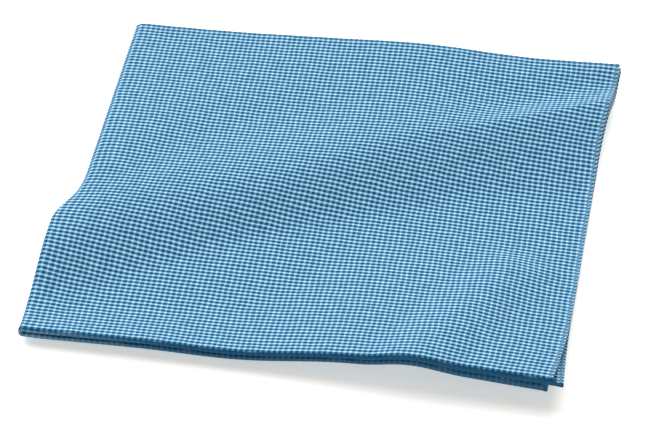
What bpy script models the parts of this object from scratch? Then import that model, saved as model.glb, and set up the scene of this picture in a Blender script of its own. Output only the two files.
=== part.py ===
"""Pocket square: one hemmed square of cloth, folded in quarters and lying flat in soft waves.

The cloth is one sheet. It is folded once front to back and once side to side, so it lies in four layers.
The layers rest on the table along a diagonal trough and rise beside it in a broad wave, at the front right
in a second one. Units are metres, +Z is up, the stacked folds face -Y and the nested fold faces -X.
"""
import bisect
import math

import bmesh
import bpy

# Driving dimensions of the cloth
CLOTH_SIDE = 0.332          # the square laid out flat
THICKNESS = 0.0010          # woven cotton with its hem, as one solid
LAYER_PITCH = 0.00145       # from the middle of one layer to the middle of the next
LAYERS = 4

# How the layers lie on each other
LAYER_SLACK = 0.0012        # how much less the lowest layer lifts than the top one
SETTLE = 0.0012             # lift over which a layer leaves the table smoothly
LOWER_PAIR_TURN = math.radians(0.9)     # the lower pair of layers is turned clockwise about the closed corner
LOWER_PAIR_SHORT = 0.0030   # it ends this much short of the top pair at the right
CORNER_CURL = 0.0023        # the top layer's open front corner is drawn in by this
CORNER_CURL_REACH = 0.040   # along the right edge
SECOND_LAYER_REACH = 0.0010  # the layer under it shows past it by this

# The wave moves the cloth behind it forward, and to the right by the sections' slide
WAVE_SLIDE_FORWARD = 0.0013
SLIDE_BEFORE_RIDGE = 0.7    # where it slides, as shares of the wave's rise
SLIDE_PAST_RIDGE = 0.6

# The waves, section by section from the nested fold to the open side, in millimetres
WAVE_COLUMNS = (
    "across", "front_lift", "front_run", "ridge", "ridge_lift", "rise_run", "fall_run", "back_lift", "slide",
)
WAVE_SECTIONS_MM = (
    (0.0, 3.0, 18.0, 46.0, 7.0, 30.0, 38.0, 0.2, 4.2),
    (14.0, 2.8, 20.0, 60.0, 6.6, 40.0, 64.0, 0.8, 3.4),
    (36.0, 3.0, 26.0, 76.0, 6.5, 48.0, 60.0, 2.4, 2.8),
    (66.0, 3.6, 42.0, 95.0, 6.8, 50.0, 45.0, 4.6, 2.4),
    (99.0, 7.2, 66.0, 115.0, 7.4, 48.0, 34.0, 6.2, 2.4),
    (132.0, 9.0, 78.0, 132.0, 7.6, 50.0, 30.0, 6.2, 2.6),
    (165.0, 7.6, 84.0, 152.0, 8.6, 54.0, 20.0, 7.8, 2.8),
)

# How finely the sheet is divided
QUARTER_CELLS = 19
FOLD_CELLS = 6

HALF = CLOTH_SIDE / 2
MM = 0.001
FRONT_FOLD_RADIUS = LAYER_PITCH / 2
SIDE_FOLD_RADIUS = LAYER_PITCH * 1.5
FRONT_FOLD_ARC = math.pi / 2 * FRONT_FOLD_RADIUS
SIDE_FOLD_ARC = math.pi / 2 * SIDE_FOLD_RADIUS
STACK_MIDDLE = LAYER_PITCH * (LAYERS - 1) / 2 + THICKNESS / 2

CLOTH_COLOUR = (0.085, 0.26, 0.50, 1.0)


def ease(x):
    """Rises from 0 to 1 as x goes from 0 to 1, level at both ends."""
    x = min(max(x, 0.0), 1.0)
    return (1 - math.cos(math.pi * x)) / 2


def leave_table(lift):
    """Keeps a layer exactly on the table until its lift is positive, then lets it rise smoothly."""
    if lift <= 0:
        return 0.0
    if lift < SETTLE:
        return lift * lift / (2 * SETTLE)
    return lift - SETTLE / 2


def wave_section(x):
    """The wave's sizes at a distance x from the nested fold, on a smooth curve through the sections."""
    rows = WAVE_SECTIONS_MM
    last = len(rows) - 1
    across = [row[0] for row in rows]
    x_mm = min(max(x / MM, across[0]), across[-1])
    k = min(max(bisect.bisect_right(across, x_mm) - 1, 0), last - 1)
    span = across[k + 1] - across[k]
    t = (x_mm - across[k]) / span
    section = {}
    for column, name in enumerate(WAVE_COLUMNS):
        start_slope, end_slope = (
            (rows[min(j + 1, last)][column] - rows[max(j - 1, 0)][column])
            / (across[min(j + 1, last)] - across[max(j - 1, 0)])
            for j in (k, k + 1)
        )
        start, end = rows[k][column], rows[k + 1][column]
        value = start + (end - start) * t * t * (3 - 2 * t)
        value += span * t * (1 - t) * (start_slope * (1 - t) - end_slope * t)
        section[name] = value * MM
    return section


def wave(x, y):
    """Lift of the top layer at (x, y), and how far the wave moves the cloth there: right, then forward."""
    s = wave_section(x)
    front = s["front_lift"] * (1 - ease(y / s["front_run"]))
    past = y - s["ridge"]
    if past < 0:
        broad = s["ridge_lift"] * ease(1 + past / s["rise_run"])
    else:
        broad = s["ridge_lift"] - (s["ridge_lift"] - s["back_lift"]) * ease(past / s["fall_run"])
    crossing = ease((past / s["rise_run"] + SLIDE_BEFORE_RIDGE) / (SLIDE_BEFORE_RIDGE + SLIDE_PAST_RIDGE))
    return front + broad, s["slide"] * crossing, WAVE_SLIDE_FORWARD * crossing


def fold(distance, arc, radius):
    """A hairpin fold: distance runs along the cloth from the fold's middle. Gives place and side (-1 to 1)."""
    if abs(distance) >= arc:
        return abs(distance) - arc, math.copysign(1.0, distance)
    angle = distance / arc * math.pi / 2
    return -radius * math.cos(angle), math.sin(angle)


def folded_point(across, along):
    """Where a point of the flat cloth, measured from its middle, lies in the folded square."""
    y, outer = fold(along, FRONT_FOLD_ARC, FRONT_FOLD_RADIUS)
    side_radius = LAYER_PITCH * (1 + outer / 2)
    x, upper = fold(across, SIDE_FOLD_ARC, side_radius)
    height = upper * side_radius

    open_share = max(x, 0.0) / HALF
    corner = max(1 - max(y, 0.0) / CORNER_CURL_REACH, 0.0) ** 2
    top = (1 + upper) / 2
    curl = corner * open_share ** 2 * top
    shift = -curl * CORNER_CURL * (1 + outer) / 2
    shift += curl * SECOND_LAYER_REACH * (1 - outer) / 2
    shift -= (1 - top) * LOWER_PAIR_SHORT * open_share
    turn = -(1 - top) * LOWER_PAIR_TURN
    px = (x + shift) * math.cos(turn) - y * math.sin(turn)
    py = (x + shift) * math.sin(turn) + y * math.cos(turn)

    top_lift, slide_right, slide_forward = wave(px, py)
    level = (height / SIDE_FOLD_RADIUS + 1) / 2
    lift = leave_table(top_lift - (1 - level) * LAYER_SLACK)
    return px + slide_right, py - slide_forward, STACK_MIDDLE + height + lift


def cloth_divisions(fold_arc):
    """Distances from the cloth's middle at which it is divided: fine over the fold, even elsewhere."""
    side = [fold_arc + (HALF - fold_arc) * k / QUARTER_CELLS for k in range(QUARTER_CELLS + 1)]
    bend = [fold_arc * (2 * k / FOLD_CELLS - 1) for k in range(1, FOLD_CELLS)]
    return [-distance for distance in reversed(side)] + bend + side


def cloth_material():
    """Woven cotton in a fine blue and white check, seen as one colour from afar."""
    material = bpy.data.materials.new("checked_cotton")
    material.use_nodes = True
    shader = material.node_tree.nodes["Principled BSDF"]
    shader.inputs["Base Color"].default_value = CLOTH_COLOUR
    shader.inputs["Roughness"].default_value = 0.85
    shader.inputs["Metallic"].default_value = 0.0
    return material


def folded_square(collection):
    """The whole cloth: a flat grid carried point by point into the folds, then given its thickness."""
    columns = cloth_divisions(SIDE_FOLD_ARC)
    rows = cloth_divisions(FRONT_FOLD_ARC)
    column_cells = len(columns) - 1
    row_cells = len(rows) - 1
    sheet = bmesh.new()
    bmesh.ops.create_grid(sheet, x_segments=column_cells, y_segments=row_cells, size=1.0)
    for vertex in sheet.verts:
        column = round((vertex.co.x + 1) / 2 * column_cells)
        row = round((vertex.co.y + 1) / 2 * row_cells)
        vertex.co = folded_point(columns[column], rows[row])
    mesh = bpy.data.meshes.new("folded_square")
    sheet.to_mesh(mesh)
    sheet.free()
    mesh.materials.append(cloth_material())
    mesh.shade_smooth()

    cloth = bpy.data.objects.new("folded_square", mesh)
    collection.objects.link(cloth)
    thickness = cloth.modifiers.new("cloth_thickness", "SOLIDIFY")
    thickness.thickness = THICKNESS
    thickness.offset = 0.0
    thickness.use_even_offset = True
    thickness.use_rim = True
    return cloth


def centre_on_origin(cloth):
    """Centres the finished solid over the origin. Its flat underside is built at height 0."""
    finished = cloth.evaluated_get(bpy.context.evaluated_depsgraph_get())
    corners = [vertex.co for vertex in finished.data.vertices]
    middle = [(min(c[axis] for c in corners) + max(c[axis] for c in corners)) / 2 for axis in (0, 1)]
    for vertex in cloth.data.vertices:
        vertex.co.x -= middle[0]
        vertex.co.y -= middle[1]


def main():
    for obj in list(bpy.data.objects):
        bpy.data.objects.remove(obj)
    collection = bpy.data.collections.new("pocket_square")
    bpy.context.scene.collection.children.link(collection)
    cloth = folded_square(collection)
    bpy.context.view_layer.update()
    centre_on_origin(cloth)


main()
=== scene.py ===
"""Pocket square: a hemmed square of checked cotton, folded in quarters and lying in soft waves.

The cloth replaces the solid square of the frame. Units are metres, +Z is up.
"""

import bisect
import math

import bmesh
import bpy
from mathutils import Matrix, Vector


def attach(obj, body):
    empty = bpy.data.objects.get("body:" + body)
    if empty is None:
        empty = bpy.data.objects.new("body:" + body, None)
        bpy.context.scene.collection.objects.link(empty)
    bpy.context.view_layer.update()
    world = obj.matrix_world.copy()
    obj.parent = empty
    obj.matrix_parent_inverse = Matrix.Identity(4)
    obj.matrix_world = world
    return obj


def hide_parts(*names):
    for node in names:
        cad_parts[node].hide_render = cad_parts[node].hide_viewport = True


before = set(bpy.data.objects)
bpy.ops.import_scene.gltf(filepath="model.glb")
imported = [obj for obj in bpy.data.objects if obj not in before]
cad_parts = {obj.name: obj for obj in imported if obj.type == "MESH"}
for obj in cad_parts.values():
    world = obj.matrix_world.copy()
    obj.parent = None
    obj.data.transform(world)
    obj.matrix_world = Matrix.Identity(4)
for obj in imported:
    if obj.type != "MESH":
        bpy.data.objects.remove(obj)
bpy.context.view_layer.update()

# The cloth
CLOTH_SIDE = 0.332          # the square laid out flat
HALF = CLOTH_SIDE / 2
MM = 0.001
THICKNESS = 0.00074         # the plain cloth
HEM_THICKNESS = 0.00090     # the rolled hem at its fullest
LAYERS = 4
LAYER_PITCH = 0.00092       # from the middle of one layer to the middle of the next
CLOSED_CORNER = (-0.08115, -0.08002)    # where the two folds cross, on the table

# How the layers lie on each other
SETTLE = 0.0012             # lift over which a layer leaves the table smoothly
LOWER_PAIR_LEAN = 0.0011    # the lower pair of layers leans to the right by this at the back
LOWER_PAIR_SHORT = 0.0030   # it ends this much short of the top pair at the right
LOWER_PAIR_BACK = 0.0020    # and its open front corner lies this much further back
CORNER_CURL = 0.0023        # the top layer's open front corner is drawn in by this
CORNER_CURL_REACH = 0.040   # along the right edge
SECOND_LAYER_REACH = 0.0012  # the layer under it shows past it by this

# The waves, section by section from the nested fold to the open side, in millimetres
LIFT_COLUMNS = (
    "across", "front_lift", "front_run", "front_bend", "ridge", "ridge_lift", "rise_run",
    "fall_run", "dip_lift", "recover_run", "back_lift", "crispness", "front_slack", "back_slack",
)
LIFT_SECTIONS_MM = (
    (0.0, 3.0, 24.0, 1.5, 46.0, 6.6, 42.0, 30.0, 5.0, 90.0, 2.4, 0.0, 0.2, 0.6),
    (5.0, 3.0, 25.0, 1.5, 52.0, 6.8, 46.0, 22.0, 6.1, 92.0, 2.7, 0.0, 0.2, 0.8),
    (14.0, 3.2, 26.0, 1.5, 62.0, 6.9, 50.0, 26.0, 5.8, 78.0, 2.8, 0.0, 0.2, 1.0),
    (36.0, 3.7, 27.0, 1.5, 76.0, 6.5, 44.0, 36.0, 4.3, 54.0, 3.2, 0.0, 0.2, 1.0),
    (66.0, 3.8, 40.0, 1.5, 92.0, 6.7, 39.0, 36.0, 4.6, 38.0, 5.0, 0.0, 0.2, 1.0),
    (99.0, 7.5, 76.0, 1.35, 112.0, 7.6, 43.0, 28.0, 6.5, 26.0, 7.0, 0.3, 0.4, 1.0),
    (132.0, 9.4, 86.0, 1.2, 127.0, 8.0, 43.0, 14.0, 5.2, 18.0, 6.5, 0.6, 1.8, 1.2),
    (150.0, 9.1, 93.0, 1.5, 136.0, 8.4, 48.0, 14.0, 5.7, 14.0, 7.3, 0.7, 2.7, 1.5),
    (165.0, 8.8, 100.0, 1.9, 144.0, 8.9, 54.0, 12.0, 6.4, 10.0, 8.3, 0.7, 3.6, 2.0),
)
# A lower ridge at the front right: its ends (right, back), height and half width in millimetres
SIDE_RIDGE_START = (119.0, 0.0)
SIDE_RIDGE_END = (144.0, 54.0)
SIDE_RIDGE_LIFT = 1.8
SIDE_RIDGE_SPREAD = 16.0
# How the waves carry the cloth out of its square, in millimetres
SHIFT_COLUMNS = (
    "across", "out", "bulge", "slide", "slide_from", "slide_to", "settle_back", "forward", "recede",
)
SHIFT_SECTIONS_MM = (
    (0.0, 1.3, 0.2, 3.7, 50.0, 78.0, 0.6, 1.2, 0.0),
    (5.0, 0.5, 0.5, 3.3, 46.0, 84.0, 0.6, 1.2, 0.0),
    (14.0, 0.4, 0.6, 3.2, 46.0, 90.0, 0.6, 1.2, 0.1),
    (36.0, 0.0, 0.2, 2.4, 54.0, 104.0, 0.4, 1.0, 0.3),
    (66.0, 0.0, 0.0, 2.1, 60.0, 116.0, 0.2, 1.0, 0.3),
    (99.0, 0.0, 0.0, 2.2, 76.0, 134.0, 0.0, 1.2, 0.4),
    (132.0, 0.0, 0.0, 2.6, 97.0, 154.0, 0.0, 0.9, -0.5),
    (165.0, -0.7, 0.0, 2.6, 120.0, 172.0, 0.0, 0.9, -1.0),
)
BULGE_MIDDLE = 0.7          # where the cloth swells out most, as a share of the way to slide_from

# The nested fold doesn't follow the yarns: how far from the cloth's middle it runs, in millimetres,
# at these distances from the front folds
CREASE_WANDER_MM = ((0.0, -0.3), (20.0, -0.7), (50.0, -0.8), (70.0, 1.2), (166.0, 1.2))

# How finely the sheet is divided
QUARTER_CELLS = 92
FOLD_CELLS = 8
HEM_ROWS = (            # distance from the cloth's edge in millimetres, and how full the hem is there
    (0.0, 0.20),
    (0.25, 0.85),
    (0.70, 1.00),
    (1.15, 0.90),
    (1.40, 0.50),
    (1.60, 0.00),
)

FRONT_FOLD_RADIUS = LAYER_PITCH / 2
SIDE_FOLD_RADIUS = LAYER_PITCH * 1.5
FOLD_REACH = 0.6            # a pressed fold stands out by this share of half its height
ARC_SHARE = 1.28            # a quarter turn of a pressed fold takes up this much cloth per unit of radius
FRONT_FOLD_ARC = ARC_SHARE * FRONT_FOLD_RADIUS
SIDE_FOLD_ARC = ARC_SHARE * SIDE_FOLD_RADIUS
STACK_MIDDLE = LAYER_PITCH * (LAYERS - 1) / 2 + HEM_THICKNESS / 2


def ease(x):
    """Rises from 0 to 1 as x goes from 0 to 1, level at both ends."""
    x = min(max(x, 0.0), 1.0)
    return (1 - math.cos(math.pi * x)) / 2


def between(stops, distance, smooth):
    """The value at a distance, between those of the two stops around it."""
    for (near, near_value), (far, far_value) in zip(stops, stops[1:]):
        if distance <= far:
            share = (max(distance, near) - near) / (far - near)
            return near_value + (far_value - near_value) * (ease(share) if smooth else share)
    return stops[-1][1]


def leave_table(lift):
    """Keeps a layer on the table until its lift is positive, then lets it rise smoothly."""
    if lift <= 0:
        return 0.0
    if lift < SETTLE:
        return lift * lift / (2 * SETTLE)
    return lift - SETTLE / 2


def section_at(columns, rows, x):
    """A table's sizes at a distance x from the nested fold, on a smooth curve through its rows."""
    last = len(rows) - 1
    across = [row[0] for row in rows]
    x_mm = min(max(x / MM, across[0]), across[-1])
    k = min(max(bisect.bisect_right(across, x_mm) - 1, 0), last - 1)
    span = across[k + 1] - across[k]
    t = (x_mm - across[k]) / span
    section = {}
    for column, name in enumerate(columns):
        start_slope, end_slope = (
            (rows[min(j + 1, last)][column] - rows[max(j - 1, 0)][column])
            / (across[min(j + 1, last)] - across[max(j - 1, 0)])
            for j in (k, k + 1)
        )
        start, end = rows[k][column], rows[k + 1][column]
        value = start + (end - start) * t * t * (3 - 2 * t)
        section[name] = value + span * t * (1 - t) * (start_slope * (1 - t) - end_slope * t)
    return section


def crisp_ease(x, crispness):
    """As ease, but where crispness is 1 it meets its far end in a bend."""
    x = min(max(x, 0.0), 1.0)
    return (1 - crispness) * ease(x) + crispness * (1 - math.cos(math.pi / 2 * x))


def side_ridge(x_mm, y_mm):
    """Lift of the lower ridge: full along its line, falling softly to 0 at its half width."""
    start, end = SIDE_RIDGE_START, SIDE_RIDGE_END
    run = (end[0] - start[0], end[1] - start[1])
    length = math.hypot(*run)
    way = ((x_mm - start[0]) * run[0] + (y_mm - start[1]) * run[1]) / length
    nearest = min(max(way, 0.0), length)
    away = math.hypot(
        x_mm - start[0] - run[0] * nearest / length,
        y_mm - start[1] - run[1] * nearest / length,
    )
    return SIDE_RIDGE_LIFT * ease(1 - away / SIDE_RIDGE_SPREAD)


def wave_lift(x, y):
    """Lift of the top layer at (x, y), and how much less the lowest layer lifts there."""
    s = section_at(LIFT_COLUMNS, LIFT_SECTIONS_MM, x)
    y_mm = y / MM
    front = s["front_lift"] * min(max(1 - y_mm / s["front_run"], 0.0), 1.0) ** s["front_bend"]
    past = y_mm - s["ridge"]
    if past < 0:
        broad = s["ridge_lift"] * crisp_ease(1 + past / s["rise_run"], s["crispness"])
    else:
        dip = s["dip_lift"]
        broad = dip + (s["ridge_lift"] - dip) * crisp_ease(1 - past / s["fall_run"], s["crispness"])
        broad += (s["back_lift"] - dip) * ease((past - s["fall_run"]) / s["recover_run"])
    slack = s["front_slack"] + (s["back_slack"] - s["front_slack"]) * ease(y_mm / s["ridge"])
    return (front + broad + side_ridge(x / MM, y_mm)) * MM, slack * MM


def wave_shift(x, y):
    """How far the waves carry the cloth at (x, y): right, then backwards."""
    s = section_at(SHIFT_COLUMNS, SHIFT_SECTIONS_MM, x)
    y_mm = y / MM
    crossing = ease((y_mm - s["slide_from"]) / (s["slide_to"] - s["slide_from"]))
    swell_middle = BULGE_MIDDLE * s["slide_from"]
    swell = ease(1 - abs(y_mm - swell_middle) / s["slide_from"])
    beyond = ease((y_mm - s["slide_to"]) / s["slide_to"])
    right = s["slide"] * crossing - s["out"] - s["bulge"] * swell - s["settle_back"] * beyond
    return right * MM, (s["recede"] - s["forward"] * crossing) * MM


def crease_wander(along):
    """How far from the cloth's middle the nested fold runs, at a distance along the cloth."""
    return between(CREASE_WANDER_MM, abs(along) / MM, smooth=True) * MM


def fold(distance, arc, radius):
    """A hairpin fold, at a distance along the cloth from its middle. Gives place and side (-1 to 1)."""
    if abs(distance) >= arc:
        return abs(distance) - arc, math.copysign(1.0, distance)
    angle = distance / arc * math.pi / 2
    return -radius * FOLD_REACH * math.cos(angle), math.sin(angle)


def folded_point(across, along):
    """Where a point of the flat cloth, measured from its middle, lies in the folded square."""
    y, outer = fold(along, FRONT_FOLD_ARC, FRONT_FOLD_RADIUS)
    side_radius = LAYER_PITCH * (1 + outer / 2)
    wander = crease_wander(along)
    x, upper = fold(across - wander, SIDE_FOLD_ARC, side_radius)
    x += wander
    height = upper * side_radius

    open_share = max(x, 0.0) / HALF
    corner = max(1 - max(y, 0.0) / CORNER_CURL_REACH, 0.0) ** 2
    top = (1 + upper) / 2
    curl = corner * open_share ** 2 * top
    shift = -curl * CORNER_CURL * (1 + outer) / 2
    shift += curl * SECOND_LAYER_REACH * (1 - outer) / 2
    shift += (1 - top) * (LOWER_PAIR_LEAN * y / HALF - LOWER_PAIR_SHORT) * open_share
    px = x + shift
    py = y + (1 - top) * LOWER_PAIR_BACK * open_share ** 3

    top_lift, slack = wave_lift(px, py)
    right, backwards = wave_shift(px, py)
    level = (height / SIDE_FOLD_RADIUS + 1) / 2
    lift = leave_table(top_lift - (1 - level) * slack)
    return px + right, py + backwards, STACK_MIDDLE + height + lift


def cloth_divisions(fold_arc):
    """Distances from the cloth's middle at which it is divided: fine over the fold and the hems."""
    hem = [HALF - distance * MM for distance, _ in reversed(HEM_ROWS)]
    plain = hem[0] - fold_arc
    side = [fold_arc + plain * k / QUARTER_CELLS for k in range(QUARTER_CELLS)] + hem
    bend = [fold_arc * (2 * k / FOLD_CELLS - 1) for k in range(1, FOLD_CELLS)]
    return [-distance for distance in reversed(side)] + bend + side


def hem_fullness(across, along):
    """1 where the rolled hem is fullest, 0 on the plain cloth."""
    inwards = (HALF - max(abs(across), abs(along))) / MM
    return between(HEM_ROWS, inwards, smooth=False)


# The weave: a blue and white check, in which the white bands along a row show more than those along a column
WHITE_YARNS = (0.53, 0.78, 0.93, 1.0)       # where two white bands cross
WHITE_WEFT = (0.222, 0.466, 0.684, 1.0)     # where a white band along a row crosses a blue one
WHITE_WARP = (0.088, 0.250, 0.436, 1.0)     # where a white band along a column does: its yarns lie deeper
BLUE_YARNS = (0.006, 0.080, 0.155, 1.0)     # where two blue bands cross
PAINTED_FOLD_SHADE = (0.003, 0.068, 0.155, 1.0)  # painted shade where the cloth turns over a front fold
CHECKS_PER_SIDE = 190
YARNS_PER_CHECK = 8
WHITE_BEGINS = 0.34         # a band is white where the cosine of its phase is above this
BAND_SHARPNESS = 1.3        # how abruptly a white band meets a blue one
YARN_DRIFT = 0.45           # how far a band strays from a straight line, in checks
DRIFTS_PER_SIDE = 34.0
DRIFT_DETAIL = 1.0
WARP_DRIFT_SEED = 0.0
WEFT_DRIFT_SEED = 7.0
SLUB = 0.9                  # how much a band of yarns swells and thins
SLUBS_ACROSS = 260.0        # swellings per side of the cloth, across a band's yarns and along them
SLUBS_ALONG = 90.0
WARP_SLUB_SEED = 11.0
WEFT_SLUB_SEED = 17.0

# The hem, and the painted shade on the front folds, in millimetres
CLOTH_MM = CLOTH_SIDE / MM
HEM_MM = 1.3
SOFT_EDGE_MM = 0.25
HEM_TWIST = 0.45            # how far the check slants over the hem, in checks per millimetre of its width
SIDE_HEM_TWISTED = 0.45
BACK_HEM_TWISTED = 0.15     # and in the others
STITCH_MM = 3.1             # from one hemming stitch to the next
STITCH_IN_MM = 1.5          # from the cloth's edge to the stitches
STITCH_SHARE = 0.22         # how much of the run a stitch takes up
STITCH_SHARPNESS = 4.0      # how abruptly it ends
FOLD_SHADE_HALF_WIDTH_MM = 0.95            # half the width of the strip of painted shade over a front fold
FOLD_SHADE_SINK_MM = 0.35       # from the fold's middle down to the middle of that shaded strip
FOLD_SHADE_UPPER = 0.95        # how strongly painted shade darkens the upper pair's front fold
FOLD_SHADE_LOWER = 0.90        # and the lower pair's
FOLD_SHADE_AT_CORNER = 0.72    # the share of that at the closed corner
FOLD_SHADE_RUN_MM = 45.0       # and how far from it the fold takes the painted shade in full

# The relief of the cloth, and how it takes the light
YARN_RELIEF = 0.02
CRINKLE_RELIEF = 0.22
CRINKLES_PER_SIDE = 60.0
CRINKLE_DETAIL = 2.0
CRINKLE_SEED = 3.0
STITCH_RELIEF = 0.15        # how deep a stitch sinks
RELIEF_STRENGTH = 0.6
RELIEF_DISTANCE = 0.001
CLOTH_ROUGHNESS = 0.85
CLOTH_SPECULAR = 0.05
CLOTH_SHEEN = 0.06
CLOTH_SHEEN_ROUGHNESS = 0.25

CLOTH_MAP = "cloth"         # the cloth's flat coordinates, from 0 to 1 each way
HEM_GROUP = "hem"

# Sockets of a Mix node that mixes colours
MIX_FACTOR, MIX_FIRST, MIX_SECOND = 0, 6, 7
MIX_RESULT = 2


class Value:
    """A number in a material: a socket that adds, subtracts, multiplies and divides as numbers do."""

    def __init__(self, painter, socket):
        self.painter = painter
        self.socket = socket

    def math(self, operation, *others):
        """This number and others through one Math node."""
        terms = dict(enumerate((self,) + others))
        made = self.painter.node("ShaderNodeMath", {"operation": operation}, terms)
        return Value(self.painter, made.outputs[0])

    def clamped(self):
        """This number kept between 0 and 1."""
        made = self.painter.node("ShaderNodeClamp", {}, {0: self})
        return Value(self.painter, made.outputs[0])

    def __add__(self, other):
        return self.math("ADD", other)

    __radd__ = __add__

    def __sub__(self, other):
        return self.math("SUBTRACT", other)

    def __rsub__(self, other):
        return self.math("MULTIPLY_ADD", -1.0, other)

    def __mul__(self, other):
        return self.math("MULTIPLY", other)

    __rmul__ = __mul__

    def __truediv__(self, other):
        return self.math("DIVIDE", other)

    def __rtruediv__(self, other):
        return self.math("POWER", -1.0) * other


class Painter:
    """Makes the nodes of one material."""

    def __init__(self, material):
        material.use_nodes = True
        self.tree = material.node_tree
        self.shader = self.tree.nodes["Principled BSDF"]

    def node(self, kind, settings=None, sockets=None):
        """One node: its settings first, then a value or a link for each socket named."""
        made = self.tree.nodes.new(kind)
        for name, setting in (settings or {}).items():
            setattr(made, name, setting)
        self.fill(made, sockets or {})
        return made

    def fill(self, made, sockets):
        """Gives a node's sockets their values or links."""
        for name, given in sockets.items():
            if isinstance(given, Value):
                given = given.socket
            if isinstance(given, bpy.types.NodeSocket):
                self.tree.links.new(given, made.inputs[name])
            else:
                made.inputs[name].default_value = given

    def mix(self, factor, first, second):
        """A colour between two colours."""
        sockets = {MIX_FACTOR: factor, MIX_FIRST: first, MIX_SECOND: second}
        made = self.node("ShaderNodeMix", {"data_type": "RGBA"}, sockets)
        return made.outputs[MIX_RESULT]

    def stretched(self, place, scales):
        """A place with its coordinates multiplied, each by its own scale."""
        made = self.node("ShaderNodeVectorMath", {"operation": "MULTIPLY"}, {0: place, 1: scales})
        return made.outputs[0]

    def noise(self, place, seed, scale=1.0, detail=0.0):
        """A soft cloudy pattern about 0."""
        sockets = {"Vector": place, "W": seed, "Scale": scale, "Detail": detail}
        made = self.node("ShaderNodeTexNoise", {"noise_dimensions": "4D"}, sockets)
        return Value(self, made.outputs[0]) - 0.5


def white_band(phase, slub=0.0):
    """1 on the white yarns, 0 on the blue ones, where phase counts the checks; slub widens the white band."""
    swing = (phase * math.tau).math("COSINE")
    return ((swing + slub - WHITE_BEGINS) * BAND_SHARPNESS + 0.5).clamped()


def checked_cotton():
    """The woven check, its slanting turn over the hem, the hemming stitches and painted shade on the front
    folds.
    """
    material = bpy.data.materials.new("checked_cotton")
    painter = Painter(material)
    place = painter.node("ShaderNodeUVMap", {"uv_map": CLOTH_MAP}).outputs["UV"]
    parts = painter.node("ShaderNodeSeparateXYZ", {}, {0: place})
    across = Value(painter, parts.outputs["X"])
    along = Value(painter, parts.outputs["Y"])

    # The two sets of bands
    warp_drift = painter.noise(place, WARP_DRIFT_SEED, DRIFTS_PER_SIDE, DRIFT_DETAIL)
    weft_drift = painter.noise(place, WEFT_DRIFT_SEED, DRIFTS_PER_SIDE, DRIFT_DETAIL)
    across_checks = across * CHECKS_PER_SIDE + warp_drift * YARN_DRIFT
    along_checks = along * CHECKS_PER_SIDE + weft_drift * YARN_DRIFT
    warp_slub = painter.noise(painter.stretched(place, (SLUBS_ACROSS, SLUBS_ALONG, 0.0)), WARP_SLUB_SEED)
    weft_slub = painter.noise(painter.stretched(place, (SLUBS_ALONG, SLUBS_ACROSS, 0.0)), WEFT_SLUB_SEED)
    warp = white_band(across_checks, warp_slub * SLUB)
    weft = white_band(along_checks, weft_slub * SLUB)

    # The hems, where the check slants and loses itself
    edge_across = (0.5 - (across - 0.5).math("ABSOLUTE")) * CLOTH_MM
    edge_along = (0.5 - (along - 0.5).math("ABSOLUTE")) * CLOTH_MM
    inwards = edge_across.math("MINIMUM", edge_along)
    hem = ((HEM_MM - inwards) / SOFT_EDGE_MM).clamped()
    side_hem = ((edge_along - edge_across) / SOFT_EDGE_MM).clamped()
    run = along_checks * side_hem + across_checks * (1 - side_hem)
    twist = white_band(run + inwards * HEM_TWIST)
    twisted = hem * (side_hem * (SIDE_HEM_TWISTED - BACK_HEM_TWISTED) + BACK_HEM_TWISTED)
    warp = warp + (twist - warp) * twisted
    weft = weft + (twist - weft) * twisted

    # The stitches inside the hems
    run_mm = run * (CLOTH_MM / CHECKS_PER_SIDE)
    stitch_swing = (run_mm * (math.tau / STITCH_MM)).math("COSINE")
    on_run = ((stitch_swing - math.cos(math.pi * STITCH_SHARE)) * STITCH_SHARPNESS).clamped()
    on_line = (1 - (inwards - STITCH_IN_MM).math("ABSOLUTE") / SOFT_EDGE_MM).clamped()
    stitch = on_run * on_line

    # Painted shade on the front folds, darker away from the closed corner
    upper_side = ((across - 0.5) * CLOTH_MM).clamped()
    crease_middle = (0.5 - upper_side) * (2 * FOLD_SHADE_SINK_MM)
    from_crease = ((along - 0.5) * CLOTH_MM - crease_middle).math("ABSOLUTE")
    fold_shade_strip = ((FOLD_SHADE_HALF_WIDTH_MM - from_crease) / SOFT_EDGE_MM).clamped()
    from_corner = ((across - 0.5).math("ABSOLUTE") * (CLOTH_MM / FOLD_SHADE_RUN_MM)).clamped()
    fold_shade_depth = from_corner * (1 - FOLD_SHADE_AT_CORNER) + FOLD_SHADE_AT_CORNER
    painted_fold_shade = fold_shade_strip * fold_shade_depth * (upper_side * (FOLD_SHADE_UPPER - FOLD_SHADE_LOWER) + FOLD_SHADE_LOWER)

    blue_side = painter.mix(warp, BLUE_YARNS, WHITE_WARP)
    white_side = painter.mix(warp, WHITE_WEFT, WHITE_YARNS)
    woven = painter.mix(weft, blue_side, white_side)
    # painted shade laid over the weave on the front folds
    colour = painter.mix(painted_fold_shade, woven, PAINTED_FOLD_SHADE)

    yarn_turns = CHECKS_PER_SIDE * YARNS_PER_CHECK * math.tau
    yarns = (across * yarn_turns).math("COSINE") + (along * yarn_turns).math("COSINE")
    crinkle = painter.noise(place, CRINKLE_SEED, CRINKLES_PER_SIDE, CRINKLE_DETAIL)
    relief = yarns * YARN_RELIEF + crinkle * CRINKLE_RELIEF - stitch * STITCH_RELIEF
    bump = painter.node("ShaderNodeBump", {}, {
        "Strength": RELIEF_STRENGTH,
        "Distance": RELIEF_DISTANCE,
        "Height": relief,
    })
    painter.fill(painter.shader, {
        "Base Color": colour,
        "Roughness": CLOTH_ROUGHNESS,
        "Specular IOR Level": CLOTH_SPECULAR,
        "Sheen Weight": CLOTH_SHEEN,
        "Sheen Roughness": CLOTH_SHEEN_ROUGHNESS,
        "Normal": bump.outputs["Normal"],
    })
    return material


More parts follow.
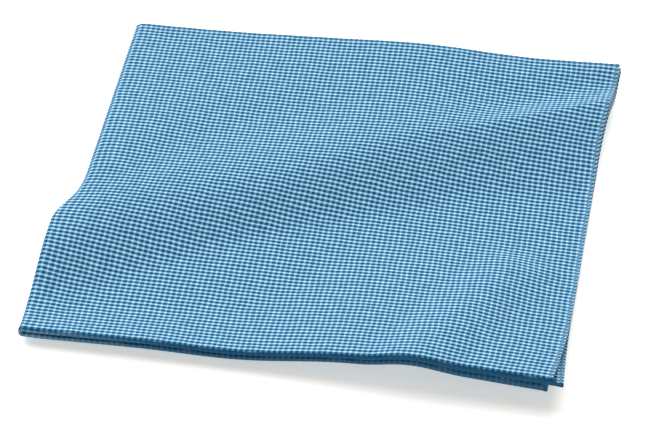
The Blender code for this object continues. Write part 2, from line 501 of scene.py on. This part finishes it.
def pocket_square():
    """The whole cloth: a flat grid carried point by point into its folds, then given its thickness."""
    columns = cloth_divisions(SIDE_FOLD_ARC)
    rows = cloth_divisions(FRONT_FOLD_ARC)
    column_cells = len(columns) - 1
    row_cells = len(rows) - 1
    sheet = bmesh.new()
    bmesh.ops.create_grid(sheet, x_segments=column_cells, y_segments=row_cells, size=1.0)
    uv_layer = sheet.loops.layers.uv.new(CLOTH_MAP)
    flat_place = {}
    fullness = []
    for vertex in sheet.verts:
        across = columns[round((vertex.co.x + 1) / 2 * column_cells)]
        along = rows[round((vertex.co.y + 1) / 2 * row_cells)]
        flat_place[vertex] = (across / CLOTH_SIDE + 0.5, along / CLOTH_SIDE + 0.5)
        fullness.append(hem_fullness(across, along))
        x, y, z = folded_point(across, along)
        vertex.co = (x + CLOSED_CORNER[0], y + CLOSED_CORNER[1], z)
    for face in sheet.faces:
        for loop in face.loops:
            loop[uv_layer].uv = flat_place[loop.vert]
    mesh = bpy.data.meshes.new("pocket_square")
    sheet.to_mesh(mesh)
    sheet.free()
    mesh.materials.append(checked_cotton())
    mesh.shade_smooth()

    cloth = bpy.data.objects.new("pocket_square", mesh)
    bpy.context.scene.collection.objects.link(cloth)
    hems = cloth.vertex_groups.new(name=HEM_GROUP)
    for index, share in enumerate(fullness):
        if share > 0:
            hems.add([index], share, "REPLACE")
    thickness = cloth.modifiers.new("cloth_thickness", "SOLIDIFY")
    thickness.thickness = HEM_THICKNESS
    thickness.offset = 0.0
    thickness.vertex_group = HEM_GROUP
    thickness.thickness_vertex_group = THICKNESS / HEM_THICKNESS
    thickness.use_even_offset = True
    thickness.use_rim = True
    return cloth


# Camera, as the photograph looks at the cloth
CAMERA_AIM = (-0.0006, -0.0023, 0.0)
CAMERA_AZIMUTH = math.radians(7.90)
CAMERA_ELEVATION = math.radians(38.69)
CAMERA_ROLL = math.radians(1.69)
CAMERA_DISTANCE = 1.2178
FOCAL_PIXELS = 3776.0
PHOTO_WIDTH = 648
SENSOR_WIDTH = 36.0
NEAREST_SEEN = 0.05
FARTHEST_SEEN = 20.0


def direction(azimuth, elevation):
    """Points from the cloth to where something stands; azimuth 0 is in front of it, at -Y."""
    return Vector((
        math.sin(azimuth) * math.cos(elevation),
        -math.cos(azimuth) * math.cos(elevation),
        math.sin(elevation),
    ))


def stand(obj, aim, away, distance, roll=0.0):
    """Puts a lamp or the camera at a distance from what it looks at, and turns it there."""
    obj.location = Vector(aim) + away * distance
    turned = away.to_track_quat("Z", "Y").to_matrix().to_4x4() @ Matrix.Rotation(roll, 4, "Z")
    obj.rotation_euler = turned.to_euler()
    bpy.context.scene.collection.objects.link(obj)


def camera():
    """The camera, where the fit to the photograph puts it."""
    data = bpy.data.cameras.new("camera")
    data.sensor_width = SENSOR_WIDTH
    data.lens = FOCAL_PIXELS / PHOTO_WIDTH * SENSOR_WIDTH
    data.clip_start = NEAREST_SEEN
    data.clip_end = FARTHEST_SEEN
    eye = bpy.data.objects.new("camera", data)
    stand(eye, CAMERA_AIM, direction(CAMERA_AZIMUTH, CAMERA_ELEVATION), CAMERA_DISTANCE, CAMERA_ROLL)
    bpy.context.scene.camera = eye


# Studio: a pale floor that glows as painted light, a wide soft light at the back left, and an even white
# surround
FLOOR_SIDE = 6.0
FLOOR_COLOUR = (0.92, 0.92, 0.92, 1.0)
FLOOR_ROUGHNESS = 0.8
FLOOR_PAINTED_GLOW = 0.46           # the floor glows by this, a painted light that keeps the shadows on it pale
FLOOR_PAINTED_GLOW_COLOUR = (0.98, 0.90, 0.80, 1.0)     # warm tint of that painted glow, which cancels the blue that the cloth throws into the shadows on the floor
SURROUND = (1.0, 1.0, 1.0, 1.0)
SURROUND_STRENGTH = 0.32
TABLE_MIDDLE = (0.0, 0.0, 0.0)
LIGHT_AZIMUTH = math.radians(207.0)
LIGHT_ELEVATION = math.radians(50.0)
LIGHT_DISTANCE = 2.2
LIGHT_WIDTH = 3.4
LIGHT_POWER = 110.0


def studio():
    """The floor under the cloth, and its light."""
    floor_sheet = bmesh.new()
    bmesh.ops.create_grid(floor_sheet, x_segments=1, y_segments=1, size=FLOOR_SIDE / 2)
    mesh = bpy.data.meshes.new("floor")
    floor_sheet.to_mesh(mesh)
    floor_sheet.free()
    material = bpy.data.materials.new("pale_floor")
    painter = Painter(material)
    painter.fill(painter.shader, {
        "Base Color": FLOOR_COLOUR,
        "Roughness": FLOOR_ROUGHNESS,
        # painted glow of the floor, which keeps the shadows on it pale
        "Emission Color": FLOOR_PAINTED_GLOW_COLOUR,
        "Emission Strength": FLOOR_PAINTED_GLOW,
    })
    mesh.materials.append(material)
    floor = bpy.data.objects.new("floor", mesh)
    bpy.context.scene.collection.objects.link(floor)

    data = bpy.data.lights.new("key_light", "AREA")
    data.size = LIGHT_WIDTH
    data.energy = LIGHT_POWER
    lamp = bpy.data.objects.new("key_light", data)
    stand(lamp, TABLE_MIDDLE, direction(LIGHT_AZIMUTH, LIGHT_ELEVATION), LIGHT_DISTANCE)

    world = bpy.data.worlds.new("surround")
    world.use_nodes = True
    light = world.node_tree.nodes["Background"]
    light.inputs["Color"].default_value = SURROUND
    light.inputs["Strength"].default_value = SURROUND_STRENGTH
    bpy.context.scene.world = world
    bpy.context.scene.view_settings.view_transform = "Standard"


camera()
studio()
cloth = pocket_square()
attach(cloth, "root")
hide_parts("folded_square")
